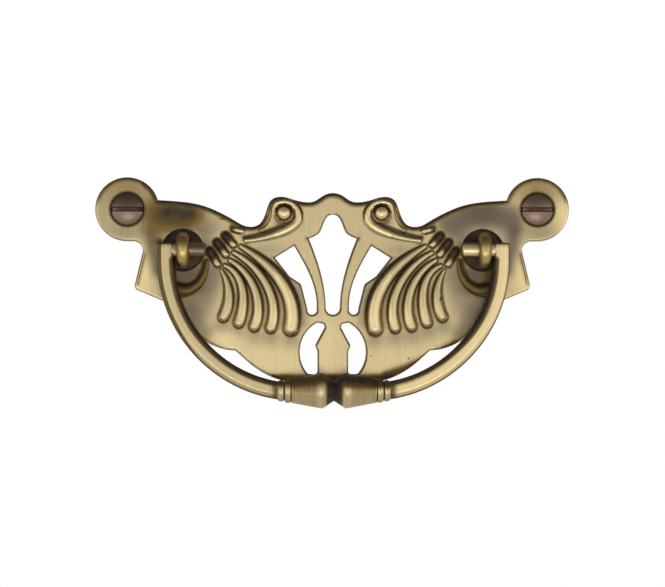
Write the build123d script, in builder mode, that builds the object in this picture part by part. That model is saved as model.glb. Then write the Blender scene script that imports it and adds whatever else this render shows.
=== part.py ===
from build123d import *
import os
from math import sqrt

# Drop pull in antique brass: a cast and pierced backplate, two eyes riveted into it, a swinging bail
# and two slotted wood screws. Millimetres. X runs along the plate, Z is up and the front faces -Y.
# The origin is on the back face, midway between the two fixing screws.

# Fixing lugs and the plate's section
FIXING_CENTRES = 85.0
LUG_RADIUS = 6.6
PLATE_THICKNESS = 2.0
EDGE_ROUND = 0.55
PIERCING_ROUND = 0.2

# Upper edge of the plate's right half, from the crest on the middle line outwards
CREST_EDGE = [(0.0, 3.4), (2.4, 2.6), (5.0, 1.48)]
HUMP_EDGE = [(8.2, 2.05), (10.5, 2.62), (12.7, 2.0), (13.5, 0.5), (14.6, -2.3), (17.0, -3.6)]
ARM_EDGE = [(20.0, -2.5), (24.0, -0.35)]
ARM_END_DIRECTION = (1, 0.05)
SHOULDER_HEIGHT = 1.9

# Outer end of the right half, under the lug: a waist, a flared ear, and the lower edge back inwards.
# Insets run inwards and drops run down from the fixing's middle.
WAIST_INSET = 3.7
WAIST_FILLET = 1.9
EAR_INSET = 1.35
EAR_DROP = 16.4
EAR_ROUND = 1.0
FLANK_INSET = 7.5
FLANK_DROP = 19.0
LOWER_EDGE = [(30.2, -24.4), (25.2, -28.0), (20.2, -29.2)]
FOOT_EDGE = [(17.0, -32.05), (13.0, -34.55), (0.0, -36.0)]
FOOT_START_DIRECTION = (-0.75, -0.65)

# Piercings: a spear on the middle line, and a curved slot and a kidney on each side. The kidney's inner
# edge is given by its rise from the kidney's centre.
SPEAR_HEAD = [(0.0, -1.05), (1.4, -1.8), (2.5, -4.3), (5.0, -6.05)]
SPEAR_BARB_DIRECTION = (1, -0.4)
SPEAR_SHAFT = [(3.5, -10.0), (2.1, -15.0), (1.5, -20.4)]
SPEAR_BOTTOM = -21.8
SLOT_CORNER_INNER = (8.0, -7.5)
SLOT_CORNER_OUTER = (12.0, -10.0)
SLOT_OUTER_EDGE = [(9.0, -13.85), (6.6, -15.45), (5.3, -20.6)]
SLOT_ROUND = 1.2
SLOT_BOTTOM = (4.3, -21.8)
SLOT_INNER_EDGE = [(3.3, -20.6), (4.2, -15.0), (6.0, -11.0)]
KIDNEY_RADIUS = 6.9
KIDNEY_CENTRE = -29.5
KIDNEY_HEAD_X = 3.3
KIDNEY_FOOT_X = 5.2
KIDNEY_INNER_EDGE = [(1.3, 5.75), (3.65, 1.35), (3.15, 0.1), (3.15, -4.7)]
KIDNEY_ROUND = 0.7

# Relief on the right half: half-round mouldings, sunk a little into the plate's front and cut off at a
# root inside it, so that nothing comes through the back
RELIEF_SINK = 0.35
RELIEF_ROOT = 1.0
FIRST_RIB_TIP_RADIUS = 0.5
RIB_TIP_RADIUS = 0.65
RIB_MIDDLE = 0.4
RIB_MIDDLE_SHARE = 0.85
RIB_RADIUS = 1.25
INNER_RIB_RADIUS = 1.7
RIB_PATHS = [
    [(23.1, -12.6), (22.3, -14.0), (21.55, -17.5), (22.7, -22.2)],
    [(22.3, -11.65), (20.15, -13.2), (18.6, -18.0), (19.5, -23.4)],
    [(21.3, -10.55), (18.2, -13.05), (15.6, -18.8), (16.3, -24.2)],
    [(20.5, -8.95), (16.1, -12.25), (12.5, -19.0), (12.9, -24.5)],
    [(19.05, -7.65), (13.95, -11.2), (9.1, -17.8), (8.7, -24.6)],
]
BEAD_TIP_RADIUS = 0.85
BEAD_RADIUS = 0.92
BEAD_PATHS = [
    [(22.25, -5.5), (20.65, -7.2)],
    [(23.95, -6.9), (22.2, -9.2)],
    [(25.45, -8.65), (23.9, -11.2)],
]
SMALL_BEAD_PATH = [(20.55, -4.1), (18.8, -4.5)]
SMALL_BEAD_RADII = [(0, 0.7), (1, 0.75)]
SCROLL_PATH = [(14.7, -4.4), (13.5, -3.3), (12.75, -1.6), (12.5, -0.2), (12.0, 1.0), (10.4, 1.55),
               (8.5, 1.15), (7.25, -0.4), (7.35, -2.3), (9.1, -3.95), (12.0, -5.2), (15.2, -6.05),
               (18.0, -6.45)]
SCROLL_RADII = [(0, 0.7), (0.25, 0.5), (0.48, 0.95), (0.65, 1.0), (1, 0.7)]
SCROLL_EYE = (10.1, -0.75)
SCROLL_EYE_RADIUS = 1.65
SCROLL_EYE_HEIGHT = 1.1
SCROLL_EYE_GROOVE = 0.22
SCROLL_EYE_DEPTH = 0.5
HOOK_PATH = [(26.1, -10.6), (26.4, -12.8), (27.7, -15.2), (29.8, -16.6), (32.4, -16.5)]
HOOK_TIP_RADIUS = 0.5
HOOK_RADIUS = 1.4

# Pivots: eyes set in round sockets, and the bail's stubs running in them
PIVOT_INSET = 11.45
PIVOT_DROP = 8.45
SOCKET_RADIUS = 4.45
SOCKET_DEPTH = 0.8
EYE_DIAMETER = 7.4
EYE_WIDTH = 2.6
EYE_ROUND = 1.1
EYE_NECK_DIAMETER = 3.8
EYE_NECK_OVERLAP = 1.0
EYE_TENON_DIAMETER = 2.6
PEEN_DIAMETER = 3.7
PEEN_DEPTH = 0.4
TENON_CLEARANCE = 0.05
STUB_DIAMETER = 3.1
STUB_RUN = 4.75
STUB_CHAMFER = 0.4
STUB_CLEARANCE = 0.06
EYE_SIDE_PLAY = 0.25

# Bail: a cast bow with two beads and a bell on each half, the bells meeting at a neck in the middle
ROD_WIDTH = 3.7
ROD_DEPTH = 3.4
ROD_CORNER = 1.35
ARM_CAP = 1.45
ARM_CHAMFER = 0.35
ARM_STRAIGHT = 2.0
BAIL_DROP = 28.95
BELL_DIAMETER = 7.4
BELL_SMALL_DIAMETER = 5.0
BELL_MOUTH = 2.4
BELL_LIP_ROUND = 0.8
BELL_LENGTH = 8.75
BELL_NECK_DIAMETER = 4.2
BELL_CLEARANCE = 0.5
COLLAR_WIDTH = 1.42
COLLAR_DIAMETERS = [5.0, 4.4]
COLLAR_GROOVE = 0.35

# Wood screws: slotted, raised countersunk heads
COUNTERSINK_DIAMETER = 7.15
COUNTERSINK_ANGLE = 90
SCREW_HEAD_DIAMETER = 6.8
SCREW_DOME = 0.85
SCREW_SHANK_DIAMETER = 3.5
SCREW_NECK = 0.1
SCREW_NECK_LENGTH = 0.3
SCREW_CORE_DIAMETER = 2.5
SCREW_LENGTH = 16.0
SCREW_PLAIN_LENGTH = 6.5
SCREW_POINT_LENGTH = 3.5
SCREW_SLOT_WIDTH = 1.0
SCREW_SLOT_DEPTH = 1.2
SCREW_HOLE_CLEARANCE = 0.2
SCREW_SEAT_GAP = 0.05

# Places that follow from the sizes above
lug_x = FIXING_CENTRES / 2
shoulder_x = lug_x - sqrt(LUG_RADIUS**2 - SHOULDER_HEIGHT**2)
waist = (lug_x - WAIST_INSET, -LUG_RADIUS)
ear = (lug_x - EAR_INSET, -EAR_DROP)
flank = (lug_x - FLANK_INSET, -FLANK_DROP)
kidney_head = (KIDNEY_HEAD_X, KIDNEY_CENTRE + sqrt(KIDNEY_RADIUS**2 - KIDNEY_HEAD_X**2))
kidney_foot = (KIDNEY_FOOT_X, KIDNEY_CENTRE - sqrt(KIDNEY_RADIUS**2 - KIDNEY_FOOT_X**2))
kidney_inner = [(x, KIDNEY_CENTRE + rise) for x, rise in KIDNEY_INNER_EDGE]
pivot_x = lug_x - PIVOT_INSET
pivot_z = -PIVOT_DROP
pivot_y = -(PLATE_THICKNESS + BELL_DIAMETER / 2 + BELL_CLEARANCE)
socket_floor = PLATE_THICKNESS - SOCKET_DEPTH
arm_x = pivot_x + EYE_WIDTH / 2 + EYE_SIDE_PLAY + ROD_WIDTH / 2
bell_z = pivot_z - BAIL_DROP
collar_end = BELL_LENGTH + COLLAR_WIDTH * len(COLLAR_DIAMETERS)
front = Plane.XZ.offset(PLATE_THICKNESS)
relief_plane = front.offset(-RELIEF_SINK)

os.makedirs("parts", exist_ok=True)


def moulding(path_points, stations):
    """A half-round moulding along a curve on the plate's front, with ball ends.

    Each station is a place along the curve, from 0 to 1, and the radius there.
    """
    with BuildPart() as bar:
        with BuildLine(relief_plane) as spine:
            if len(path_points) == 2:
                Line(*path_points)
            else:
                Spline(*path_points)
        path = spine.line
        for place, radius in stations:
            with BuildSketch(Plane(origin=path @ place, z_dir=path % place)):
                Circle(radius)
        sweep(path=path, multisection=True)
        for (place, radius), outwards in ((stations[0], path % 0 * -1), (stations[-1], path % 1)):
            with BuildSketch(Plane(origin=path @ place, x_dir=outwards, z_dir=relief_plane.z_dir)):
                with BuildLine():
                    CenterArc((0, 0), radius, 0, 90)
                    Polyline((0, radius), (0, 0), (radius, 0))
                make_face()
            revolve(axis=Axis(path @ place, outwards))
        split(bisect_by=front.offset(-RELIEF_ROOT), keep=Keep.TOP)
    return bar.part


# Relief of the right half: five ribs, four beads, the volute's band and the hook under the eye
rib_radii = [RIB_RADIUS] * (len(RIB_PATHS) - 1) + [INNER_RIB_RADIUS]
rib_tips = [FIRST_RIB_TIP_RADIUS] + [RIB_TIP_RADIUS] * (len(RIB_PATHS) - 1)
relief = [
    moulding(path, [(0, tip), (RIB_MIDDLE, RIB_MIDDLE_SHARE * radius), (1, radius)])
    for path, tip, radius in zip(RIB_PATHS, rib_tips, rib_radii)
]
relief += [moulding(path, [(0, BEAD_TIP_RADIUS), (1, BEAD_RADIUS)]) for path in BEAD_PATHS]
relief.append(moulding(SMALL_BEAD_PATH, SMALL_BEAD_RADII))
relief.append(moulding(SCROLL_PATH, SCROLL_RADII))
relief.append(moulding(HOOK_PATH, [(0, HOOK_TIP_RADIUS), (1, HOOK_RADIUS)]))

# Backplate: one casting with a flat back, a rounded front edge, piercings and relief
with BuildPart() as backplate:
    with BuildSketch(Plane.XZ):
        with BuildLine():
            crest = Spline(*CREST_EDGE, tangents=[(1, 0), (1, 0)])
            hump = Spline(crest @ 1, *HUMP_EDGE, tangents=[(1, 0), (1, 0)])
            arm = Spline(
                hump @ 1, *ARM_EDGE, (shoulder_x, SHOULDER_HEIGHT), tangents=[(1, 0), ARM_END_DIRECTION]
            )
            lug = ThreePointArc(arm @ 1, (lug_x + LUG_RADIUS, 0), (lug_x, -LUG_RADIUS))
            flare = FilletPolyline(lug @ 1, waist, ear, flank, radius=[WAIST_FILLET, EAR_ROUND])
            lower = Spline(flare @ 1, *LOWER_EDGE)
            foot = Spline(lower @ 1, *FOOT_EDGE, tangents=[FOOT_START_DIRECTION, (-1, 0)])
            Line(foot @ 1, crest @ 0)
        make_face()
        mirror(about=Plane.YZ)
    extrude(amount=PLATE_THICKNESS)
    fillet(backplate.faces().sort_by(Axis.Y)[0].edges(), radius=EDGE_ROUND)

    with BuildSketch(front):
        with BuildLine():
            head = Spline(*SPEAR_HEAD, tangents=[(1, 0), SPEAR_BARB_DIRECTION])
            shaft = Spline(head @ 1, *SPEAR_SHAFT)
            TangentArc((0, SPEAR_BOTTOM), shaft @ 1, tangent=(1, 0))
            Line((0, SPEAR_BOTTOM), head @ 0)
        make_face()
        with BuildLine():
            Line(SLOT_CORNER_INNER, SLOT_CORNER_OUTER)
            outer = FilletPolyline(SLOT_CORNER_OUTER, *SLOT_OUTER_EDGE, radius=SLOT_ROUND)
            ThreePointArc(outer @ 1, SLOT_BOTTOM, SLOT_INNER_EDGE[0])
            Spline(*SLOT_INNER_EDGE, SLOT_CORNER_INNER)
        make_face()
        mirror(about=Plane.YZ)
    extrude(amount=-PLATE_THICKNESS, mode=Mode.SUBTRACT)
    with BuildSketch(front) as kidneys:
        with BuildLine():
            back = ThreePointArc(kidney_foot, (KIDNEY_RADIUS, KIDNEY_CENTRE), kidney_head)
            Polyline(back @ 1, *kidney_inner, back @ 0)
        make_face()
        corners = kidneys.vertices().sort_by(Axis.Y)
        fillet(corners[:2] + corners[-2:], radius=KIDNEY_ROUND)
        mirror(about=Plane.YZ)
    extrude(amount=-PLATE_THICKNESS, mode=Mode.SUBTRACT)
    pierced_face = backplate.faces().sort_by(Axis.Y)[0]
    fillet([edge for wire in pierced_face.inner_wires() for edge in wire.edges()], radius=PIERCING_ROUND)

    for moulded in relief:
        add(moulded)
        add(mirror(moulded, about=Plane.YZ, mode=Mode.PRIVATE))

    # Each volute's eye is a low dome in a round groove
    eye_places = [(side * SCROLL_EYE[0], SCROLL_EYE[1]) for side in (1, -1)]
    with BuildSketch(front):
        with Locations(*eye_places):
            Circle(SCROLL_EYE_RADIUS + SCROLL_EYE_GROOVE)
    extrude(amount=-SCROLL_EYE_DEPTH, mode=Mode.SUBTRACT)
    for place_x, place_z in eye_places:
        groove_floor = Plane(origin=(place_x, SCROLL_EYE_DEPTH - PLATE_THICKNESS, place_z), z_dir=(0, 0, 1))
        with BuildSketch(groove_floor):
            with BuildLine():
                cap = TangentArc((0, -SCROLL_EYE_HEIGHT), (SCROLL_EYE_RADIUS, 0), tangent=(1, 0))
                Polyline(cap @ 1, (SCROLL_EYE_RADIUS, SCROLL_EYE_DEPTH), (0, SCROLL_EYE_DEPTH), cap @ 0)
            make_face()
        revolve(axis=Axis(groove_floor.origin, (0, 1, 0)))

    # Sockets, rivet holes and screw holes go in from the front and the back
    pivot_places = [(side * pivot_x, pivot_z) for side in (1, -1)]
    with BuildSketch(front):
        with Locations(*pivot_places):
            Circle(SOCKET_RADIUS)
    extrude(amount=-SOCKET_DEPTH, mode=Mode.SUBTRACT)
    with BuildSketch(front):
        with Locations(*pivot_places):
            Circle(EYE_TENON_DIAMETER / 2 + TENON_CLEARANCE)
    extrude(amount=-PLATE_THICKNESS, mode=Mode.SUBTRACT)
    with BuildSketch(Plane.XZ):
        with Locations(*pivot_places):
            Circle(PEEN_DIAMETER / 2 + TENON_CLEARANCE)
    extrude(amount=PEEN_DEPTH, mode=Mode.SUBTRACT)
    with Locations(front):
        with Locations((lug_x, 0), (-lug_x, 0)):
            CounterSinkHole(
                radius=SCREW_SHANK_DIAMETER / 2 + SCREW_HOLE_CLEARANCE,
                counter_sink_radius=COUNTERSINK_DIAMETER / 2,
                counter_sink_angle=COUNTERSINK_ANGLE,
            )

backplate.part.label = "backplate"
export_step(backplate.part, "parts/backplate.step")

# Eyes: a rounded ring across the pivot axis, a neck on the socket's floor, and a tenon peened at the back
for side, name in ((-1, "eye_left"), (1, "eye_right")):
    pivot = Vector(side * pivot_x, pivot_y, pivot_z)
    bore_radius = STUB_DIAMETER / 2 + STUB_CLEARANCE
    neck_end = -pivot_y - EYE_DIAMETER / 2 + EYE_NECK_OVERLAP
    with BuildPart() as eye:
        with BuildSketch(Plane(origin=pivot, z_dir=(0, -1, 0), x_dir=(1, 0, 0))):
            with BuildLine():
                Polyline(
                    (-EYE_WIDTH / 2, bore_radius),
                    (-EYE_WIDTH / 2, EYE_DIAMETER / 2),
                    (EYE_WIDTH / 2, EYE_DIAMETER / 2),
                    (EYE_WIDTH / 2, bore_radius),
                    close=True,
                )
            section = make_face()
            fillet(section.vertices().group_by(Axis.Y)[-1], radius=EYE_ROUND)
        revolve(axis=Axis(pivot, (1, 0, 0)))
        for from_back, to_back, diameter in (
            (socket_floor, neck_end, EYE_NECK_DIAMETER),
            (0, socket_floor, EYE_TENON_DIAMETER),
            (0, PEEN_DEPTH, PEEN_DIAMETER),
        ):
            with BuildSketch(Plane.XZ.offset(from_back)):
                with Locations((pivot.X, pivot.Z)):
                    Circle(diameter / 2)
            extrude(amount=to_back - from_back)
    eye.part.label = name
    export_step(eye.part, f"parts/{name}.step")

# Bail: the right half is swept and turned, then mirrored
with BuildPart() as bail:
    with BuildLine(Plane.XZ.offset(-pivot_y)) as bow:
        arm_line = Line((arm_x, pivot_z + ARM_CAP), (arm_x, pivot_z - ARM_STRAIGHT))
        TangentArc(arm_line @ 1, (collar_end - COLLAR_WIDTH / 2, bell_z), tangent=arm_line % 1)
    with BuildSketch(Plane(origin=bow.line @ 0, x_dir=(1, 0, 0), z_dir=(0, 0, -1))):
        RectangleRounded(ROD_WIDTH, ROD_DEPTH, ROD_CORNER)
    sweep(path=bow.line)
    chamfer(bail.faces().sort_by(Axis.Z)[-1].edges(), length=ARM_CHAMFER)

    stub_end = pivot_x - STUB_RUN
    with BuildSketch(Plane.YZ.offset(stub_end)):
        with Locations((pivot_y, pivot_z)):
            Circle(STUB_DIAMETER / 2)
    extrude(amount=arm_x - stub_end)
    chamfer(bail.faces().filter_by(Axis.X).sort_by(Axis.X)[0].edges(), length=STUB_CHAMFER)

    # Bell and beads, turned about the bells' common axis
    with BuildSketch(Plane(origin=(0, pivot_y, bell_z), x_dir=(1, 0, 0), z_dir=(0, -1, 0))):
        with BuildLine():
            bell = FilletPolyline(
                (0, BELL_NECK_DIAMETER / 2),
                (BELL_MOUTH, BELL_DIAMETER / 2),
                (BELL_LENGTH, BELL_SMALL_DIAMETER / 2),
                radius=BELL_LIP_ROUND,
            )
            last = bell @ 1
            for count, diameter in enumerate(COLLAR_DIAMETERS):
                start_x = BELL_LENGTH + count * COLLAR_WIDTH
                groove = diameter / 2 - COLLAR_GROOVE
                step = Line(last, (start_x, groove))
                bead = ThreePointArc(
                    step @ 1, (start_x + COLLAR_WIDTH / 2, diameter / 2), (start_x + COLLAR_WIDTH, groove)
                )
                last = bead @ 1
            Polyline(last, (collar_end, 0), (0, 0), bell @ 0)
        make_face()
    revolve(axis=Axis((0, pivot_y, bell_z), (1, 0, 0)))
    mirror(about=Plane.YZ)
bail.part.label = "bail"
export_step(bail.part, "parts/bail.step")

# Wood screws: one profile turned about each fixing's axis, with a slot across the dome
head_rim = -PLATE_THICKNESS + (COUNTERSINK_DIAMETER - SCREW_HEAD_DIAMETER) / 2 - SCREW_SEAT_GAP
neck_radius = SCREW_SHANK_DIAMETER / 2 + SCREW_NECK
under_head = head_rim + SCREW_HEAD_DIAMETER / 2 - neck_radius
with BuildPart() as wood_screws:
    for side in (-1, 1):
        with BuildSketch(Plane(origin=(side * lug_x, 0, 0), z_dir=(0, 0, 1))):
            with BuildLine():
                dome = TangentArc(
                    (0, head_rim - SCREW_DOME), (SCREW_HEAD_DIAMETER / 2, head_rim), tangent=(1, 0)
                )
                Polyline(
                    dome @ 1,
                    (neck_radius, under_head),
                    (SCREW_SHANK_DIAMETER / 2, under_head + SCREW_NECK_LENGTH),
                    (SCREW_SHANK_DIAMETER / 2, head_rim + SCREW_PLAIN_LENGTH),
                    (SCREW_CORE_DIAMETER / 2, head_rim + SCREW_PLAIN_LENGTH),
                    (SCREW_CORE_DIAMETER / 2, head_rim + SCREW_LENGTH - SCREW_POINT_LENGTH),
                    (0, head_rim + SCREW_LENGTH),
                    dome @ 0,
                )
            make_face()
        revolve(axis=Axis((side * lug_x, 0, 0), (0, 1, 0)))
        with BuildSketch(Plane.XZ.offset(-head_rim + SCREW_DOME)):
            with Locations((side * lug_x, 0)):
                Rectangle(SCREW_HEAD_DIAMETER, SCREW_SLOT_WIDTH)
        extrude(amount=-SCREW_SLOT_DEPTH, mode=Mode.SUBTRACT)
wood_screws.part.label = "wood_screws"
export_step(wood_screws.part, "parts/wood_screws.step")
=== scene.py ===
import math

import bmesh
import bpy
import numpy as np
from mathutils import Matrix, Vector
from mathutils.bvhtree import BVHTree
from mathutils.geometry import delaunay_2d_cdt
from mathutils.kdtree import KDTree


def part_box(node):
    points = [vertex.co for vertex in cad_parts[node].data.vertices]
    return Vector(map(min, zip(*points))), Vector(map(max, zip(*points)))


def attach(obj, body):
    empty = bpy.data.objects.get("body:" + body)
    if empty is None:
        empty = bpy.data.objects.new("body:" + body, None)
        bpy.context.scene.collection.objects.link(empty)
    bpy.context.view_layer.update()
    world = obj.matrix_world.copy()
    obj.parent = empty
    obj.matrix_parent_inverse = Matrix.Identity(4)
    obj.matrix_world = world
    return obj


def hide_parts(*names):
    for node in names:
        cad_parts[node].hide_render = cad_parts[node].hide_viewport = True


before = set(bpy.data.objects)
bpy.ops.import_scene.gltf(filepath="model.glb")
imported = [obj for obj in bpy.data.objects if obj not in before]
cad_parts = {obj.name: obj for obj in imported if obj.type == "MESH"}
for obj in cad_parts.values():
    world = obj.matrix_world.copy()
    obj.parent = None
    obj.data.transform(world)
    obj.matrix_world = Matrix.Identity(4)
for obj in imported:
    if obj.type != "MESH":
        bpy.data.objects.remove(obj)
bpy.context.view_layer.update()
scene = bpy.context.scene
scene.view_settings.view_transform = "Standard"

# Backplate: one flat-backed casting in brass, pierced and embossed. It was darkened all over and then
# brushed bright again from top to bottom, so the dark stays in the corners of the relief. The dark on the
# upper edges and round the eyes is painted shade. Two wood screws hold it to the drawer.
MM = 0.001
FRONT_NET = 0.19 * MM
LONGEST_EDGE = 0.45 * MM
TOUCHING = MM / 1000
FACING_FRONT = -0.9999
FACING_BACK = 0.999
CREASE_ANGLE = math.radians(32)


def merged_copy(node):
    """The triangles of a CAD node, joined into one closed mesh."""
    mesh = bmesh.new()
    mesh.from_mesh(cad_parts[node].data)
    bmesh.ops.remove_doubles(mesh, verts=mesh.verts, dist=TOUCHING)
    return mesh


def split_long_edges(mesh, longest, passes):
    """Halves the long edges of everything but the flat back, so that a finish can vary along them."""
    for _ in range(passes):
        long_edges = [
            edge
            for edge in mesh.edges
            if edge.calc_length() > longest and any(face.normal.y < FACING_BACK for face in edge.link_faces)
        ]
        bmesh.ops.subdivide_edges(mesh, edges=long_edges, cuts=1)
        bmesh.ops.triangulate(mesh, faces=[face for face in mesh.faces if len(face.verts) > 3])


def net_over_front(mesh, spacing):
    """Fills the flat front with an even net of points inside its own outline.

    Gives its level, and rows of x, z and how far it faces up for points on the edges where the front
    ends, and for points on the edges where the relief stands on it.
    """
    levels = {}
    for face in mesh.faces:
        if face.normal.y < FACING_FRONT:
            levels.setdefault(round(face.calc_center_median().y, 6), []).append(face)
    level, flat = max(levels.items(), key=lambda item: sum(face.calc_area() for face in item[1]))
    chosen = set(flat)
    rim = [edge for edge in mesh.edges if sum(face in chosen for face in edge.link_faces) == 1]
    mesh.verts.index_update()
    cover = BVHTree.FromPolygons(
        [vert.co[:] for vert in mesh.verts], [[vert.index for vert in face.verts] for face in flat]
    )

    along_rim, ends, feet = [], [], []
    for edge in rim:
        first, last = (vert.co for vert in edge.verts)
        steps = max(1, math.ceil(edge.calc_length() / (spacing / 3)))
        samples = [first.lerp(last, step / steps) for step in range(steps)]
        along_rim += samples
        inner, outer = sorted(edge.link_faces, key=lambda face: face not in chosen)
        outwards = (last - first).cross(Vector((0, 1, 0))).normalized()
        if outwards.dot(first - inner.calc_center_median()) < 0:
            outwards.negate()
        rows = ends if outer.calc_center_median().y > level else feet
        rows += [(place.x / MM, place.z / MM, outwards.z) for place in samples]
    near_rim = KDTree(len(along_rim))
    for count, place in enumerate(along_rim):
        near_rim.insert(place, count)
    near_rim.balance()

    rim_verts = sorted({vert for edge in rim for vert in edge.verts}, key=lambda vert: vert.index)
    number = {vert: count for count, vert in enumerate(rim_verts)}
    net = [Vector((vert.co.x, vert.co.z)) / MM for vert in rim_verts]
    low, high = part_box("backplate")
    row_height = spacing * math.sqrt(3) / 2
    for row in range(int((high.z - low.z) / row_height)):
        start = low.x + spacing / 2 * (row % 2)
        for column in range(int((high.x - low.x) / spacing)):
            place = Vector((start + column * spacing, level, low.z + row * row_height))
            if cover.find_nearest(place, TOUCHING)[0] and near_rim.find(place)[2] > spacing / 2:
                net.append(Vector((place.x, place.z)) / MM)
    rim_pairs = [tuple(number[vert] for vert in edge.verts) for edge in rim]
    flat_points, _, triangles, sources, _, _ = delaunay_2d_cdt(net, rim_pairs, [], 1, 1e-7)

    bmesh.ops.delete(mesh, geom=flat, context="FACES")
    verts = []
    for point, ids in zip(flat_points, sources):
        from_rim = [rim_verts[count] for count in ids if count < len(rim_verts)]
        verts.append(from_rim[0] if from_rim else mesh.verts.new((point.x * MM, level, point.y * MM)))
    for triangle in triangles:
        corners = [verts[count] for count in triangle]
        middle = sum((vert.co for vert in corners), Vector()) / 3
        if cover.find_nearest(middle, TOUCHING)[0]:
            mesh.faces.new(corners)
    bmesh.ops.delete(mesh, geom=[vert for vert in mesh.verts if not vert.link_faces], context="VERTS")
    mesh.normal_update()
    return level / MM, np.array(ends), np.array(feet)


def finished_object(mesh, name):
    """A bmesh as a smooth object at the origin, with its true corners kept sharp."""
    data = bpy.data.meshes.new(name)
    mesh.to_mesh(data)
    mesh.free()
    if "custom_normal" in data.attributes:
        data.attributes.remove(data.attributes["custom_normal"])
    data.shade_smooth()
    data.set_sharp_from_angle(angle=CREASE_ANGLE)
    piece = bpy.data.objects.new(name, data)
    scene.collection.objects.link(piece)
    return piece


def places_and_facing(piece):
    """The points of a piece in millimetres and their normals, as two arrays of rows."""
    points = np.zeros(len(piece.data.vertices) * 3, np.float32)
    normals = np.zeros_like(points)
    piece.data.vertices.foreach_get("co", points)
    piece.data.vertex_normals.foreach_get("vector", normals)
    return points.reshape(-1, 3).astype(float) / MM, normals.reshape(-1, 3).astype(float)


def closed_in(points, normals, surface, reaches, rays=28):
    """How far each point is closed in by a surface, from 0 to 1, for each reach in millimetres."""
    turn = math.pi * (3 - math.sqrt(5))
    counts = np.arange(rays)
    share = (counts + 0.5) / rays
    dome = np.stack([np.cos(counts * turn), np.sin(counts * turn), np.sqrt(1 / share - 1)], 1)
    dome *= np.sqrt(share)[:, None]
    helper = np.where(np.abs(normals[:, 2:]) < 0.9, [[0.0, 0.0, 1.0]], [[1.0, 0.0, 0.0]])
    across = np.cross(helper, normals)
    across /= np.maximum(np.linalg.norm(across, axis=1, keepdims=True), 1e-6)
    along = np.cross(normals, across)
    lift = 0.01
    starts = (points + normals * lift) * MM
    sums = np.zeros((len(points), len(reaches)))
    for count, start in enumerate(starts):
        origin = Vector(start)
        for ray in dome @ np.stack([across[count], along[count], normals[count]]):
            distance = surface.ray_cast(origin, ray, max(reaches) * MM)[3]
            if distance is not None:
                for column, reach in enumerate(reaches):
                    sums[count, column] += max(0.0, 1 - distance / (reach * MM))
    return sums.T / rays


def eased(values, low, high):
    """0 at low, 1 at high, and an even curve between them."""
    share = np.clip((values - low) / (high - low), 0, 1)
    return share * share * (3 - 2 * share)


def faded(values, low, high):
    """1 at low, 0 at high, and an even curve between them."""
    return 1 - eased(values, low, high)


def soft_line(values, middle, width):
    """1 where a value is at the middle of a line, and less and less on both sides of it."""
    return np.exp(-(((values - middle) / width) ** 2))


def layered(*films):
    """Layers of patina, veil and painted shade over each other: what shows through is what each of them
    lets through.
    """
    clear = 1.0
    for patina_and_shade in films:
        clear = clear * (1 - np.clip(patina_and_shade, 0, 1))
    return 1 - clear


def spots(points, places):
    """Soft oval spots at (x, z, half width, half height, strength)."""
    return layered(*[
        strength * np.exp(-(((points[:, 0] - x) / width) ** 2 + ((points[:, 2] - z) / height) ** 2))
        for x, z, width, height, strength in places
    ])


def away(points, path):
    """How far each point is from a path that is the same on both halves."""
    flat = np.stack([np.abs(points[:, 0]), points[:, 2]], 1)
    nearest = np.full(len(flat), np.inf)
    for first, last in zip(path, path[1:]):
        run = np.subtract(last, first)
        share = np.clip((flat - first) @ run / (run @ run), 0, 1)
        nearest = np.minimum(nearest, np.linalg.norm(flat - first - share[:, None] * run, axis=1))
    return nearest


def stroke(points, path, width, strength):
    """A soft line along a path that is the same on both halves, with a strength at its middle."""
    return strength * soft_line(away(points, path), 0, width)


def mirrored(places):
    """The same spots on both halves."""
    return [(side * x, *rest) for x, *rest in places for side in (-1, 1)]


def keep(piece, name, amounts):
    """Keeps an amount at each point of a piece as its own attribute."""
    attribute = piece.data.attributes.new(name, "FLOAT", "POINT")
    attribute.data.foreach_set("value", np.clip(amounts, 0, 1).astype(np.float32))


def nearest_end(points, ends):
    """How far the nearest end of the front is from each point, and how far that end faces up."""
    tree = KDTree(len(ends))
    for count, (x, z, _) in enumerate(ends):
        tree.insert((x, 0, z), count)
    tree.balance()
    found = [tree.find((x, 0, z)) for x, _, z in points]
    return np.array([gap for _, _, gap in found]), ends[[count for _, count, _ in found], 2]


def beside(points, first, last):
    """The share of the way along a line, the same on both halves, and how far off it a point is."""
    flat = np.stack([np.abs(points[:, 0]), points[:, 2]], 1) - first
    run = np.subtract(last, first)
    share = flat @ run / (run @ run)
    return share, np.linalg.norm(flat - np.clip(share, 0, 1)[:, None] * run, axis=1)


plate_mesh = merged_copy("backplate")
plate_surface = BVHTree.FromBMesh(plate_mesh)
front_level, front_ends, relief_feet = net_over_front(plate_mesh, FRONT_NET)
split_long_edges(plate_mesh, LONGEST_EDGE, 2)
plate = finished_object(plate_mesh, "plate_casting")
points, normals = places_and_facing(plate)

# Where things are on the plate, in millimetres
PIVOT_X, PIVOT_Z = 31.05, -8.45
SOCKET_RADIUS = 4.5
SCREW_X = 42.5
COUNTERSINK_RADIUS = 3.6
HOLE_MARGIN = 0.1
LUG_RADIUS = 7.2
LUG_INNER_X = 39.5
PIERCED_FIELDS = [(12.6, -7.0), (5.4, -0.9)]
SCROLL_END_X, SCROLL_FOOT_Z = 19.0, -7.2
DOME_X, DOME_Z = 10.1, -0.75
DOME_RADIUS = 1.65
BACK_LEVEL = -0.02
from_middle, depth, height = np.abs(points[:, 0]), points[:, 1], points[:, 2]
on_left = points[:, 0] < 0
on_back = depth > BACK_LEVEL
raised = depth < front_level - 0.03
lowered = depth > front_level + 0.02
tight, wide = closed_in(points, normals, plate_surface, [0.7, 3.0])
from_pivot = np.hypot(from_middle - PIVOT_X, height - PIVOT_Z)
from_screw = np.hypot(from_middle - SCREW_X, height)
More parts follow.
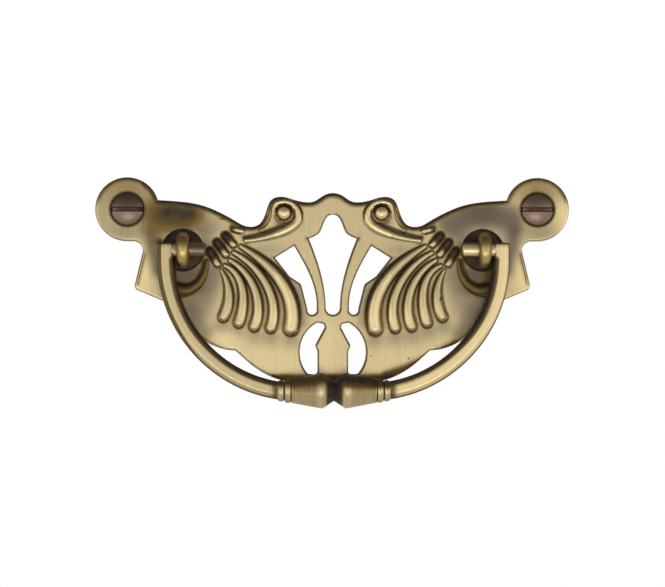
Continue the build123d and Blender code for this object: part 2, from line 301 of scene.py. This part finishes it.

# Dark along the edges: painted shade in a band inside the upper outline, on the upper roundings, and on
# the roundings that turn away from the front, stronger on the left; thin patina lines round the piercings,
# wider on their upper edges as painted shade, and painted shade on their rounded walls
end_x, end_z = np.abs(front_ends[:, 0]), front_ends[:, 1]
in_hole = np.hypot(end_x - PIVOT_X, end_z - PIVOT_Z) < SOCKET_RADIUS + HOLE_MARGIN
in_hole |= np.hypot(end_x - SCREW_X, end_z) < COUNTERSINK_RADIUS + HOLE_MARGIN
end_gap, end_up = nearest_end(points, front_ends[~in_hole])
pierced = np.any([(from_middle < reach) & (height < top) for reach, top in PIERCED_FIELDS], axis=0)
upper = eased(end_up, 0.1, 0.4)
turned_away = 1 + normals[:, 1]
outer_lug = (from_screw < LUG_RADIUS) & ((from_middle > LUG_INNER_X) | ~on_left)
upper_outline_shade = upper * (0.3 * faded(end_gap, 0.1, 0.8) + 0.6 * faded(end_gap, 0.0, 0.25))
piercing_line = 0.5 * faded(end_gap, 0.0, 0.14) + 0.35 * upper * faded(end_gap, 0.05, 0.3)
on_flat = np.where(pierced, piercing_line, np.where(outer_lug, 0.4, 1) * upper_outline_shade)
side_shade = np.where(on_left, 0.6, 0.2) * eased(turned_away, 0.3, 0.65)
upper_round_shade = np.where(outer_lug, 0.6, 0.97) * eased(normals[:, 2], 0.02, 0.35)
on_round = np.where(pierced, 0.8, layered(side_shade, upper_round_shade))
edges = np.where(raised, 0, np.where(lowered, on_round, on_flat))

# Dark line where the relief stands on the front, wider below the ends of the ribs
foot_gap, foot_up = nearest_end(points, relief_feet)
below_end = eased(foot_up, 0.3, 0.8)
feet = 0.45 * faded(foot_gap, 0.02, 0.22) + 0.4 * below_end * faded(foot_gap, 0.05, 0.4)
under_scroll = (height > SCROLL_FOOT_Z) & (from_middle < SCROLL_END_X) & (foot_up > 0)
feet *= np.where(lowered | under_scroll, 0, faded(front_level - depth, 0.1, 0.35))

# Dark patina in the corners and in the sockets, each socket a little lighter towards its bottom; painted
# shade on the relief's upper and inner flanks, and in the countersinks and round their rims, as the gap
# round each screw head
corners = 0.9 * eased(tight, 0.12, 0.32)
upwards_and_in = -0.7 * np.sign(points[:, 0]) * normals[:, 0] + 0.7 * normals[:, 2]
relief_flank_shade = np.where(raised, 0.92 * eased(upwards_and_in, 0.28, 0.68), 0)
in_socket = lowered & (from_pivot < SOCKET_RADIUS)
sockets = np.where(in_socket, 0.95 - 0.12 * eased(PIVOT_Z - height, 0, 3), 0)
countersink_rim = 0.5 * soft_line(from_screw, COUNTERSINK_RADIUS, 0.2)
countersink_shade = np.where(lowered & (from_screw < COUNTERSINK_RADIUS), 0.95, countersink_rim)

# Painted shade on the upper ends of the beads and along the upper edges of hook and volute, and dark film
# on the hook
bead_lines = [
    ((22.25, -5.5), (20.65, -7.2)),
    ((23.95, -6.9), (22.2, -9.2)),
    ((25.45, -8.65), (23.9, -11.2)),
]
beads = np.zeros(len(points))
for first, last in bead_lines:
    share, off = beside(points, first, last)
    on_bead = (share > -0.6) * faded(off, 0.9, 1.3)
    beads = np.maximum(beads, 0.92 * faded(share, 0.45, 0.85) * on_bead)
hook_middle = [(26.1, -10.6), (26.4, -12.8), (27.7, -15.2), (32.4, -16.7)]
hook = np.where(raised, 0.43 * faded(away(points, hook_middle), 1.2, 1.6), 0)
hook_edge = [(26.7, -10.6), (27.1, -12.4), (28.2, -14.4), (29.9, -15.45), (32.6, -15.2)]
hook_edge_shade = stroke(points, hook_edge, 0.5, 0.95)
volute_edge = [
    (18.4, -5.8), (16.1, -5.35), (13.5, -4.55), (10.9, -3.5), (9.0, -2.6), (8.15, -1.5), (8.2, -0.4)
]
volute_edge_shade = stroke(points, volute_edge, 0.36, 0.95)

# Brown clouds on both halves and some on one half only, of which the bands just above the bells, the spot
# above the left bail arm's top end and the strip beside the right bail arm are painted shadow; and three
# small pits in the casting
clouds_and_shadows = mirrored([
    (42.5, 4.5, 6.0, 3.5, 0.2),
    (20.9, -3.9, 0.5, 0.7, 0.8),
    (0.5, -35.0, 3.2, 0.7, 0.7),
    (5.0, -35.0, 3.5, 0.65, 0.75),
    (10.3, -34.8, 3.0, 0.65, 0.75),
    (29.5, -16.6, 2.5, 1.2, 0.2),
])
clouds_and_shadows += [
    (-22.7, -1.95, 0.55, 0.16, 0.9),
    (-36.0, -6.7, 0.9, 0.6, 0.7),
    (31.9, -13.5, 0.9, 3.0, 0.6),
]
pits = [
    (15.65, -30.85, 0.14, 0.14, 0.9),
    (7.8, -30.3, 0.12, 0.12, 0.7),
    (-18.9, -33.1, 0.12, 0.12, 0.6),
]
# Painted shadow on the plate's left arm above its eye, and a dark band along the lower right edge
left_arm_shadow = spots(points, [
    (-29.9, -1.1, 2.6, 2.1, 0.84),
    (-34.0, -0.8, 4.9, 3.0, 0.85),
    (-36.8, -3.6, 2.2, 2.6, 0.2),
])
right_edge = [(11.0, -34.3), (15.0, -33.0), (19.0, -31.2), (23.0, -29.2), (25.5, -27.9)]
one_side = np.where(on_left, left_arm_shadow, stroke(points, right_edge, 0.8, 0.7))
# The patina and the painted shade, layered into one share that the plate keeps
patina_and_shade = layered(
    corners, relief_flank_shade, edges, feet, sockets, countersink_shade, beads, hook, hook_edge_shade, volute_edge_shade,
    spots(points, clouds_and_shadows + pits), one_side,
)

# The dome in each volute is bright with painted shade on its upper rim, the dark ring round it is darker
# above as painted shade, and the back has an even thin film
dome_rise = height - DOME_Z
from_dome = np.hypot(from_middle - DOME_X, dome_rise) / DOME_RADIUS
dome_shade = 0.85 * eased(from_dome, 0.82, 1.0) * eased(dome_rise, -0.5, 1.1)
dome_ring = 0.2 + 0.75 * eased(dome_rise, -0.9, 0.9)
patina_and_shade = np.where(from_dome < 1, dome_shade, np.where(from_dome < 1.22, dome_ring, patina_and_shade))
keep(plate, "patina_and_shade", np.where(on_back, 0.3, patina_and_shade))

# Lilac-grey veil, most of it painted shade: on the ground between the ribs and below their ends, under the
# eyes, beside and inside the bail and on the right arm above its eye; elsewhere an even grey, lighter
# towards the bottom
between_ribs = np.where(raised | lowered, 0, 0.6 * eased(wide, 0.03, 0.24))
veil_and_shade_places = mirrored([
    (22.9, -24.0, 1.9, 2.0, 0.3),
    (19.7, -25.3, 1.9, 2.0, 0.3),
    (16.4, -26.1, 1.9, 2.0, 0.3),
    (12.9, -26.4, 1.9, 2.0, 0.3),
    (8.6, -26.9, 2.2, 2.0, 0.3),
    (29.5, -13.6, 3.6, 2.4, 0.92),
    (29.0, -16.5, 3.0, 1.5, 0.4),
    (26.4, -5.6, 1.8, 2.6, 0.3),
    (14.0, -8.3, 3.5, 1.5, 0.18),
    (42.5, -4.6, 4.5, 2.2, 0.26),
    (11.2, -2.7, 0.8, 0.6, 0.5),
    (46.5, 0.0, 3.0, 4.0, 0.1),
])
veil_and_shade_places += [
    (-31.0, -4.2, 4.5, 0.9, 0.4),
    (-25.5, -3.4, 3.0, 2.0, 0.2),
    (-47.5, 0.0, 2.5, 5.0, 0.08),
]
shadow_beside_bail = stroke(points, [(37.6, -4.5), (37.3, -8.0), (36.4, -12.5)], 1.5, 0.62)
shadow_inside_bow = stroke(points, [(31.3, -14.0), (30.4, -18.0), (28.7, -22.0), (26.2, -25.6)], 1.7, 0.4)
ribs_side = [(25.2, -9.5), (25.2, -14.0), (27.0, -18.5), (27.5, -20.0)]
beside_ribs = np.where(on_left, 0.4, 0.32) * faded(away(points, ribs_side), 0.4, 4.4)
beside_slots = stroke(points, [(7.2, -15.0), (6.4, -19.0), (6.3, -23.5)], 1.3, 0.28)
arm_middle = [(24.5, -3.0), (29.0, -1.2), (33.0, -1.0), (36.7, -2.2)]
along_arm = 0.63 * faded(away(points, arm_middle), 0.6, 4.6)
right_arm_shadow = layered(along_arm, spots(points, [(31.0, -0.8, 3.6, 2.0, 0.6)]))
on_ribs = np.where(from_middle > 12, 0.2, 0.07) * faded(-height, 18, 25)
in_general = np.where(on_left, 0.165, 0.175) - np.where(on_left, 0.08, 0.06) * eased(-height, 18, 28)
veil_and_shade = layered(
    between_ribs,
    spots(points, veil_and_shade_places),
    shadow_beside_bail,
    beside_slots,
    np.where(on_left, 0, right_arm_shadow),
    shadow_inside_bow,
    np.where(raised, 0, beside_ribs),
    np.where(raised & (from_middle < 26), on_ribs, in_general),
)
# Places where the veil is taken off to show bare metal; on the lower ears this is painted light
bared_places = mirrored([(40.0, -13.5, 2.6, 4.5, 1.0)])
bared_places += [(47.8, 0.0, 2.2, 4.5, 1.0), (-22.0, -27.0, 4.0, 2.0, 0.7)]
bared = spots(points, bared_places)
keep(plate, "veil_and_shade", np.where(on_back, 0.1, veil_and_shade * (1 - bared)))


def add_node(tree, kind, inputs=(), **settings):
    """One node in a tree, with its settings, and with each input either set or linked."""
    made = tree.nodes.new(kind)
    for name, value in settings.items():
        setattr(made, name, value)
    for name, value in dict(inputs).items():
        if isinstance(value, bpy.types.NodeSocket):
            tree.links.new(value, made.inputs[name])
        else:
            made.inputs[name].default_value = value
    return made


def blended(tree, factor, first, last):
    """A colour between two others, by a factor."""
    mix = add_node(tree, "ShaderNodeMix", data_type="RGBA")
    for socket, value in zip((mix.inputs[0], mix.inputs[6], mix.inputs[7]), (factor, first, last)):
        tree.links.new(value, socket)
    return mix.outputs[2]


def ranged(tree, value, low, high, to_low, to_high, curve="SMOOTHSTEP"):
    """A value taken from one range into another."""
    inputs = {"Value": value, "From Min": low, "From Max": high, "To Min": to_low, "To Max": to_high}
    return add_node(tree, "ShaderNodeMapRange", inputs, interpolation_type=curve).outputs[0]


def worked(tree, operation, first, second, third=0.0, clamp=False):
    """The result of a sum on values."""
    inputs = {0: first, 1: second, 2: third}
    return add_node(tree, "ShaderNodeMath", inputs, operation=operation, use_clamp=clamp).outputs[0]


def noise(tree, vector, scale, detail):
    """Even noise over a vector, round a half."""
    inputs = {"Vector": vector, "Scale": scale, "Detail": detail}
    return add_node(tree, "ShaderNodeTexNoise", inputs).outputs[0]


def softened(tree, value):
    """A share from 0 to 1 that grows fast at first, so that a thin film shows as the eye expects."""
    return worked(tree, "MULTIPLY", value, worked(tree, "SUBTRACT", 2.0, value))


def new_group(name, inputs, outputs):
    """An empty shader group with named sockets, and its input and output sockets."""
    tree = bpy.data.node_groups.new(name, "ShaderNodeTree")
    for socket, kind in inputs:
        tree.interface.new_socket(socket, in_out="INPUT", socket_type=kind)
    for socket, kind in outputs:
        tree.interface.new_socket(socket, in_out="OUTPUT", socket_type=kind)
    return tree, tree.nodes.new("NodeGroupInput").outputs, tree.nodes.new("NodeGroupOutput").inputs


VALUE, COLOUR, VECTOR = "NodeSocketFloat", "NodeSocketColor", "NodeSocketVector"
FINISH_COLOURS = ("Bare", "Veiled And Shaded", "Brown", "Dark")

# The antique finish of all the metal: bare where it is rubbed, greyed by the veil and its painted shade,
# and brown and then dark where the patina and painted shade are whole, with them a little mottled
antique, given, result = new_group(
    "antique_finish",
    [("Patina And Shade", VALUE), ("Veil And Shade", VALUE)] + [(name, COLOUR) for name in FINISH_COLOURS],
    [("Color", COLOUR), ("Roughness", VALUE), ("Metallic", VALUE)],
)
piece_places = add_node(antique, "ShaderNodeTexCoord").outputs["Object"]
mottling = ranged(antique, noise(antique, piece_places, 700.0, 5.0), 0.25, 0.75, -0.14, 0.14, "LINEAR")
uneven = worked(antique, "MULTIPLY_ADD", mottling, given["Patina And Shade"], given["Patina And Shade"], clamp=True)
greyed = blended(antique, softened(antique, given["Veil And Shade"]), given["Bare"], given["Veiled And Shaded"])
brown_share = softened(antique, ranged(antique, uneven, 0.0, 0.5, 0, 1, "LINEAR"))
browned = blended(antique, brown_share, greyed, given["Brown"])
darkened = blended(antique, ranged(antique, uneven, 0.45, 1.0, 0, 1, "LINEAR"), browned, given["Dark"])
antique.links.new(darkened, result["Color"])
antique.links.new(ranged(antique, uneven, 0.0, 0.8, 0.33, 0.5), result["Roughness"])
antique.links.new(ranged(antique, uneven, 0.4, 1.0, 1.0, 0.4), result["Metallic"])

# The fine lines that a brush leaves along a piece, and the soft unevenness of a casting under them
LINES_SHARE = 0.25
brushed, given, result = new_group(
    "brushed_casting",
    [("Along", VECTOR), ("Lines", VECTOR)],
    [("Streak", VALUE), ("Height", VALUE)],
)
stretching = {0: given["Along"], 1: given["Lines"]}
stretched = add_node(brushed, "ShaderNodeVectorMath", stretching, operation="MULTIPLY").outputs[0]
lines = noise(brushed, stretched, 1.0, 3.0)
waves = noise(brushed, given["Along"], 420.0, 2.0)
uneven_height = worked(brushed, "MULTIPLY", waves, 1 - LINES_SHARE)
brushed.links.new(worked(brushed, "MULTIPLY_ADD", lines, LINES_SHARE, uneven_height), result["Height"])
brushed.links.new(ranged(brushed, lines, 0.25, 0.75, -1.0, 1.0, "LINEAR"), result["Streak"])


def antique_metal(name, colours, lines, streak_share, bump_depth, along=None):
    """Antique metal: patina, veil and painted shade kept on the mesh, broken by brush lines, over a bare
    colour.
    """
    material = bpy.data.materials.new(name)
    material.use_nodes = True
    tree = material.node_tree
    surface = tree.nodes["Principled BSDF"]
    patina_and_shade = add_node(tree, "ShaderNodeAttribute", attribute_name="patina_and_shade").outputs["Fac"]
    veil_and_shade = add_node(tree, "ShaderNodeAttribute", attribute_name="veil_and_shade").outputs["Fac"]
    if along:
        run = add_node(tree, "ShaderNodeAttribute", attribute_name=along).outputs["Vector"]
    else:
        run = add_node(tree, "ShaderNodeTexCoord").outputs["Object"]
    brush = add_node(tree, "ShaderNodeGroup", node_tree=brushed)
    tree.links.new(run, brush.inputs["Along"])
    brush.inputs["Lines"].default_value = lines
    finish = add_node(tree, "ShaderNodeGroup", node_tree=antique)
    streaked = worked(tree, "MULTIPLY_ADD", brush.outputs["Streak"], streak_share, patina_and_shade, clamp=True)
    tree.links.new(streaked, finish.inputs["Patina And Shade"])
    tree.links.new(veil_and_shade, finish.inputs["Veil And Shade"])
    for socket, colour in zip(FINISH_COLOURS, colours):
        finish.inputs[socket].default_value = (*colour, 1)
    bump = add_node(tree, "ShaderNodeBump", {"Height": brush.outputs["Height"], "Distance": bump_depth})
    tree.links.new(finish.outputs["Color"], surface.inputs["Base Color"])
    tree.links.new(finish.outputs["Roughness"], surface.inputs["Roughness"])
    tree.links.new(finish.outputs["Metallic"], surface.inputs["Metallic"])
    tree.links.new(bump.outputs[0], surface.inputs["Normal"])
    return material


BARE_BRASS = (0.88, 0.7, 0.37)
LILAC_GREY = (0.13, 0.104, 0.082)
GOLDEN_BROWN = (0.185, 0.12, 0.037)
BROWN_BLACK = (0.018, 0.011, 0.006)
plate_brass = antique_metal(
    "plate_brass",
    colours=(BARE_BRASS, LILAC_GREY, GOLDEN_BROWN, BROWN_BLACK),
    lines=(3500, 900, 150),
    streak_share=0.035,
    bump_depth=0.03 * MM,
)
plate.data.materials.append(plate_brass)
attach(plate, "plate")
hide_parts("backplate")

# Eyes: two turned rings in yellower brass, each on a neck that stands in a socket of the plate and is
# riveted at the back. They carry the bail's stubs and were only lightly darkened.
YELLOW_BRASS = (0.52, 0.385, 0.155)
YELLOW_BROWN = (0.2, 0.13, 0.035)
eye_brass = antique_metal(
    "eye_brass",
    colours=(YELLOW_BRASS, LILAC_GREY, YELLOW_BROWN, BROWN_BLACK),
    lines=(1300, 1300, 1300),
    streak_share=0.06,
    bump_depth=0.06 * MM,
)


def fine_copy(node, name, passes):
    """A finer copy of a CAD node as an object, its surface, its points and their normals."""
    mesh = merged_copy(node)
    surface = BVHTree.FromBMesh(mesh)
    split_long_edges(mesh, LONGEST_EDGE, passes)
    piece = finished_object(mesh, name)
    return piece, surface, *places_and_facing(piece)


for node in ("eye_left", "eye_right"):
    eye, eye_surface, points, normals = fine_copy(node, node + "_ring", 1)
    # On each eye: painted shade near the plate, on its top and on its left and right sides; patina in its
    # own corners
    near_plate = eased(closed_in(points, normals, plate_surface, [3.0])[0], 0.05, 0.5)
    own_corners = eased(closed_in(points, normals, eye_surface, [1.0])[0], 0.1, 0.4)
    facing_up = 0.5 * eased(normals[:, 2], 0.1, 0.9)
    sides = 0.28 * eased(np.abs(normals[:, 0]), 0.25, 0.8)
    keep(eye, "patina_and_shade", layered(near_plate, own_corners, facing_up, sides))
    keep(eye, "veil_and_shade", np.zeros(len(points)))
    eye.data.materials.append(eye_brass)
    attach(eye, "plate")
    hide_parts(node)

# Bail: one brass casting, a bow with a stub at each end, and beads and bells turned on its lower middle.
# The front of the rod is rubbed bright; its flanks are dark with patina and painted shade, and the grooves
# of the turning stay dark.
BOW_MIDDLE_X, BOW_MIDDLE_Z = 7.26, -10.45
BOW_RADIUS = 27.19
HALF_ROD = 1.85
ARM_TOP_Z = -7.45
STUB_END_X, STUB_FOOT_Z = 32.4, -10.2
STUB_TIP_X = 30.0
TURNING_Y, TURNING_Z = -6.2, -37.4
TURNING_TOP_Z = -30.0
COLLAR_FROM, COLLAR_TO = 8.75, 11.6
BELL_LIP_X = 2.7
BOW_GRAIN, TURNING_GRAIN = 27, 3
bail, bail_surface, points, normals = fine_copy("bail", "bail_casting", 2)
from_middle, height = np.abs(points[:, 0]), points[:, 2]
on_left = points[:, 0] < 0
turned_away = 1 + normals[:, 1]
on_turning = (height < TURNING_TOP_Z) & (from_middle < COLLAR_TO)
on_stub = (height > STUB_FOOT_Z) & (from_middle < STUB_END_X)
bow_x = np.maximum(from_middle - BOW_MIDDLE_X, 0)
bow_z = height - BOW_MIDDLE_Z
from_bow_middle = np.hypot(bow_x, bow_z)
across = (np.where(bow_z > 0, bow_x, from_bow_middle) - BOW_RADIUS) / HALF_ROD

# Dark on the bow: patina in the grooves, patina and painted shade along both flanks, wider inside and not
# the same on both halves, dark film at the collars and behind, and painted shade on the upper ends
grooves = 0.95 * eased(closed_in(points, normals, bail_surface, [1.2])[0], 0.1, 0.35)
low_on_bow = eased(-height, 22, 33)
inner_start = np.where(on_left, -0.25, -0.2) - np.where(on_left, 0.1, 0.25) * low_on_bow
inner_flank = 0.55 * eased(inner_start - across, 0, 0.2) + 0.42 * eased(inner_start - across, 0.2, 0.5)
inner_flank *= faded(height, -10.3, -9.7)
outer_start = np.where(on_left, 0.45, 0.75) + 0.3 * on_left * low_on_bow
outer_flank = 0.55 * eased(across - outer_start, 0, 0.15) + 0.4 * eased(across, 0.8, 1.0)
near_collar = 0.55 * soft_line(from_middle, COLLAR_TO + 0.1, 0.9) * (height < TURNING_TOP_Z)
top_end = 0.9 * eased(height, ARM_TOP_Z, ARM_TOP_Z + 0.35)
at_back = 0.8 * eased(turned_away, 0.9, 1.3)
bow_patina_and_shade = layered(grooves, inner_flank, outer_flank, near_collar, top_end, at_back)

# Dark on the turning and the stubs: patina in the grooves and dark in the bells' mouths; painted shade on
# top, on the upper half of the bells' barrels and on the sides turned away from the front
bell_top = np.where(on_left, 0.75, 0.92) * eased(normals[:, 2] - 0.2 * on_left, 0.05, 0.6)
mouth = 0.95 * faded(from_middle, 1.15, 1.85)
lip = soft_line(from_middle, BELL_LIP_X, 0.9)
barrel = (0.1 + 0.17 * eased(normals[:, 2], -0.45, 0.0)) * (1 - 0.95 * lip)
bell_patina_and_shade = layered(grooves, bell_top, mouth, barrel, 0.55 * at_back)
collar_patina_and_shade = layered(0.65 * grooves, 0.7 * bell_top, 0.03 + 0.15 * eased(turned_away, 0.2, 0.6))
turning_patina_and_shade = np.where(from_middle < COLLAR_FROM, bell_patina_and_shade, collar_patina_and_shade)
stub_patina_and_shade = layered(grooves, 0.55 * eased(turned_away, 0.2, 0.7), 0.5 * eased(normals[:, 2], 0.5, 0.95))
keep(bail, "patina_and_shade", np.where(on_turning, turning_patina_and_shade, np.where(on_stub, stub_patina_and_shade, bow_patina_and_shade)))
stub_veil = np.where(from_middle < STUB_TIP_X, 0.72, 0.45)
rod_veil = np.where(on_turning, 0.12, np.where(on_left, 0.2, 0.05))
keep(bail, "veil_and_shade", np.where(on_stub & on_left, stub_veil, rod_veil))

# The brush lines run along the bow, round the turning and straight along the stubs
along_bow = np.stack([np.arctan2(bow_z, bow_x) * BOW_GRAIN, from_bow_middle, points[:, 1]], 1)
round_axis = np.arctan2(height - TURNING_Z, TURNING_Y - points[:, 1])
along_turning = np.stack([round_axis * TURNING_GRAIN, points[:, 0], np.zeros(len(points))], 1)
grain_run = np.where(on_stub[:, None], points, np.where(on_turning[:, None], along_turning, along_bow)) * MM
grain = bail.data.attributes.new("grain", "FLOAT_VECTOR", "POINT")
grain.data.foreach_set("vector", grain_run.astype(np.float32).ravel())
bail_brass = antique_metal(
    "bail_brass",
    colours=(BARE_BRASS, LILAC_GREY, GOLDEN_BROWN, BROWN_BLACK),
    lines=(180, 2600, 2600),
    streak_share=0.05,
    bump_depth=0.03 * MM,
    along="grain",
)
bail.data.materials.append(bail_brass)
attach(bail, "bail")
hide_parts("bail")

# Wood screws: two slotted screws with raised countersunk heads, turned and bronzed dark all over, and
# driven through the lugs. Behind the plate each has a plain shank and a core that carries the thread.
BRONZE = (0.22, 0.155, 0.108)
BRONZE_BROWN = (0.085, 0.055, 0.037)
BRONZE_BLACK = (0.01, 0.007, 0.005)
HEAD_BACK_Y = -1.0
screws, screw_surface, points, normals = fine_copy("wood_screws", "screw_bodies", 2)
# On each screw: dark in the slot, painted shade where the head meets the plate and on the head's upper half
slot_dark = eased(closed_in(points, normals, screw_surface, [1.5])[0], 0.1, 0.5)
rim_dark = eased(closed_in(points, normals, plate_surface, [1.2])[0], 0.1, 0.6)
on_head = points[:, 1] < HEAD_BACK_Y
upper_half_shade = np.where(points[:, 0] < 0, 0.2, 0.04) * eased(points[:, 2], -0.5, 1.0) * on_head
keep(screws, "patina_and_shade", layered(slot_dark, rim_dark, upper_half_shade))
keep(screws, "veil_and_shade", np.zeros(len(points)))
screw_bronze = antique_metal(
    "screw_bronze",
    colours=(BRONZE, LILAC_GREY, BRONZE_BROWN, BRONZE_BLACK),
    lines=(2200, 2200, 2200),
    streak_share=0.07,
    bump_depth=0.03 * MM,
)
screws.data.materials.append(screw_bronze)
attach(screws, "plate")
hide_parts("wood_screws")

# Threads of the wood screws: one rib of bronze wound round each core, cut from the same rod as the screw
# and running out along its point. They sit in the wood of the drawer, and show only from the back.
COIL_STEPS = 28
RIB_SIDES = 3
thread_values = {
    "Turns": 6.4,
    "Length": 9.0 * MM,
    "Path Radius": 1.28 * MM,
    "Rib Radius": 0.44 * MM,
    "Lead In": 0.8 * MM,
    "Lead Share": 0.25,
    "Point From": 5.9 * MM,
    "Point Share": 0.12,
    "Set Back": 4.75 * MM,
    "Half Spacing": SCREW_X * MM,
}
thread_tree = bpy.data.node_groups.new("screw_thread", "GeometryNodeTree")
thread_tree.interface.new_socket("Geometry", in_out="OUTPUT", socket_type="NodeSocketGeometry")
for name in thread_values:
    thread_tree.interface.new_socket(name, in_out="INPUT", socket_type=VALUE)
thread_tree.interface.new_socket("Material", in_out="INPUT", socket_type="NodeSocketMaterial")
given = thread_tree.nodes.new("NodeGroupInput").outputs


def thread_step(kind, inputs=(), **settings):
    """One step in the making of the threads, and what it puts out first."""
    return add_node(thread_tree, kind, inputs, **settings).outputs[0]


spiral = thread_step("GeometryNodeCurveSpiral", {
    "Resolution": COIL_STEPS,
    "Rotations": given["Turns"],
    "Start Radius": given["Path Radius"],
    "End Radius": given["Path Radius"],
    "Height": given["Length"],
})
place = thread_step("GeometryNodeInputPosition")
along = add_node(thread_tree, "ShaderNodeSeparateXYZ", {0: place}).outputs["Z"]
narrowed = ranged(
    thread_tree, along, given["Point From"], given["Length"], 1.0, given["Point Share"], "LINEAR"
)
scaling = thread_step("ShaderNodeCombineXYZ", {"X": narrowed, "Y": narrowed, "Z": 1.0})
scaled = thread_step("ShaderNodeVectorMath", {0: place, 1: scaling}, operation="MULTIPLY")
tapered = thread_step("GeometryNodeSetPosition", {"Geometry": spiral, "Position": scaled})
level_path = thread_step("GeometryNodeSetCurveNormal", {"Curve": tapered}, mode="Z_UP")
starting = ranged(thread_tree, along, 0.0, given["Lead In"], given["Lead Share"], 1.0, "LINEAR")
rib_share = worked(thread_tree, "MULTIPLY", narrowed, starting)
thinned = thread_step("GeometryNodeSetCurveRadius", {"Curve": level_path, "Radius": rib_share})
rib_outline = {"Resolution": RIB_SIDES, "Radius": given["Rib Radius"]}
rib = thread_step("GeometryNodeCurvePrimitiveCircle", rib_outline)
wound = thread_step("GeometryNodeCurveToMesh", {"Curve": thinned, "Profile Curve": rib, "Fill Caps": True})
laid = thread_step("GeometryNodeTransform", {
    "Geometry": wound,
    "Translation": thread_step("ShaderNodeCombineXYZ", {"Y": given["Set Back"]}),
    "Rotation": (-math.pi / 2, 0, 0),
})
left_end = worked(thread_tree, "MULTIPLY", given["Half Spacing"], -1.0)
ends_of_line = {
    "Count": 2,
    "Start Location": thread_step("ShaderNodeCombineXYZ", {"X": left_end}),
    "Offset": thread_step("ShaderNodeCombineXYZ", {"X": given["Half Spacing"]}),
}
centres = thread_step("GeometryNodeMeshLine", ends_of_line, mode="END_POINTS")
both = thread_step("GeometryNodeInstanceOnPoints", {"Points": centres, "Instance": laid})
real = thread_step("GeometryNodeRealizeInstances", {0: both})
painted = thread_step("GeometryNodeSetMaterial", {"Geometry": real, "Material": given["Material"]})
thread_tree.links.new(painted, thread_tree.nodes.new("NodeGroupOutput").inputs[0])

winder = bpy.data.objects.new("thread_winder", bpy.data.meshes.new("thread_winder"))
scene.collection.objects.link(winder)
winding = winder.modifiers.new("winding", "NODES")
winding.node_group = thread_tree
for socket in thread_tree.interface.items_tree:
    if socket.in_out == "INPUT":
        winding[socket.identifier] = thread_values.get(socket.name, screw_bronze)
wound_mesh = bpy.data.meshes.new_from_object(winder.evaluated_get(bpy.context.evaluated_depsgraph_get()))
bpy.data.objects.remove(winder)
threads = bpy.data.objects.new("screw_threads", wound_mesh)
scene.collection.objects.link(threads)
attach(threads, "plate")

# Studio: a plain pale floor well below the pull, a white background, and soft light from the front
# and below, as the photograph shows it, with a darker room above.
FLOOR_LEVEL = -0.11
FLOOR_RADIUS = 0.19
bpy.ops.mesh.primitive_circle_add(
    vertices=96, radius=FLOOR_RADIUS, fill_type="NGON", location=(0, 0, FLOOR_LEVEL)
)
floor = bpy.context.object
floor.name = "floor"
floor_paint = bpy.data.materials.new("floor_paint")
floor_paint.use_nodes = True
floor_inputs = floor_paint.node_tree.nodes["Principled BSDF"].inputs
floor_inputs["Base Color"].default_value = (0.86, 0.86, 0.85, 1)
floor_inputs["Roughness"].default_value = 0.8
floor.data.materials.append(floor_paint)

# The room is white to the camera, and in reflections it darkens upwards in front of the pull
WHITE = (1, 1, 1, 1)
AMBIENT_STRENGTH = 0.7
world = bpy.data.worlds.new("studio")
scene.world = world
world.use_nodes = True
sky = world.node_tree
sky.nodes.clear()
directions = add_node(sky, "ShaderNodeTexCoord").outputs["Generated"]
axes = add_node(sky, "ShaderNodeSeparateXYZ", {0: directions}).outputs
rays = add_node(sky, "ShaderNodeLightPath").outputs
room_in_front = ranged(sky, axes["Z"], -0.3, 0.75, 1.0, 0.25)
room_behind = ranged(sky, axes["Y"], 0.1, 0.5, 0.0, 1.0)
reflected = worked(sky, "MAXIMUM", room_in_front, room_behind)
seen = worked(sky, "MAXIMUM", rays["Is Camera Ray"], reflected)
camera_or_gloss = worked(sky, "ADD", rays["Is Camera Ray"], rays["Is Glossy Ray"])
shown = worked(sky, "ADD", camera_or_gloss, rays["Is Transmission Ray"])
backdrop = add_node(sky, "ShaderNodeBackground", {"Color": WHITE, "Strength": seen})
ambient = add_node(sky, "ShaderNodeBackground", {"Color": WHITE, "Strength": AMBIENT_STRENGTH})
mixed = add_node(sky, "ShaderNodeMixShader", {0: shown, 1: ambient.outputs[0], 2: backdrop.outputs[0]})
add_node(sky, "ShaderNodeOutputWorld", {"Surface": mixed.outputs[0]})

aim = Vector((-0.1, -2.0, -17.4)) * MM
lamps = [
    ("front_lamp", (0.0, -0.5, -0.35), 0.4, 1.1),
    ("left_lamp", (-0.4, -0.5, 0.05), 0.3, 0.18),
    ("right_lamp", (0.4, -0.5, 0.05), 0.3, 0.14),
]
for name, place, width, power in lamps:
    lamp_data = bpy.data.lights.new(name, "AREA")
    lamp_data.size = width
    lamp_data.energy = power
    lamp = bpy.data.objects.new(name, lamp_data)
    lamp.location = place
    lamp.rotation_euler = (aim - Vector(place)).to_track_quat("-Z", "Y").to_euler()
    scene.collection.objects.link(lamp)

PICTURE_WIDTH = 137.6 * MM
CAMERA_DISTANCE = 0.65
CAMERA_TURN = math.radians(2.5)
camera_data = bpy.data.cameras.new("camera")
camera_data.lens = camera_data.sensor_width * CAMERA_DISTANCE / PICTURE_WIDTH
camera = bpy.data.objects.new("camera", camera_data)
camera.location = aim + Vector((-math.sin(CAMERA_TURN), -math.cos(CAMERA_TURN), 0)) * CAMERA_DISTANCE
camera.rotation_euler = (math.pi / 2, 0, -CAMERA_TURN)
scene.collection.objects.link(camera)
scene.camera = camera
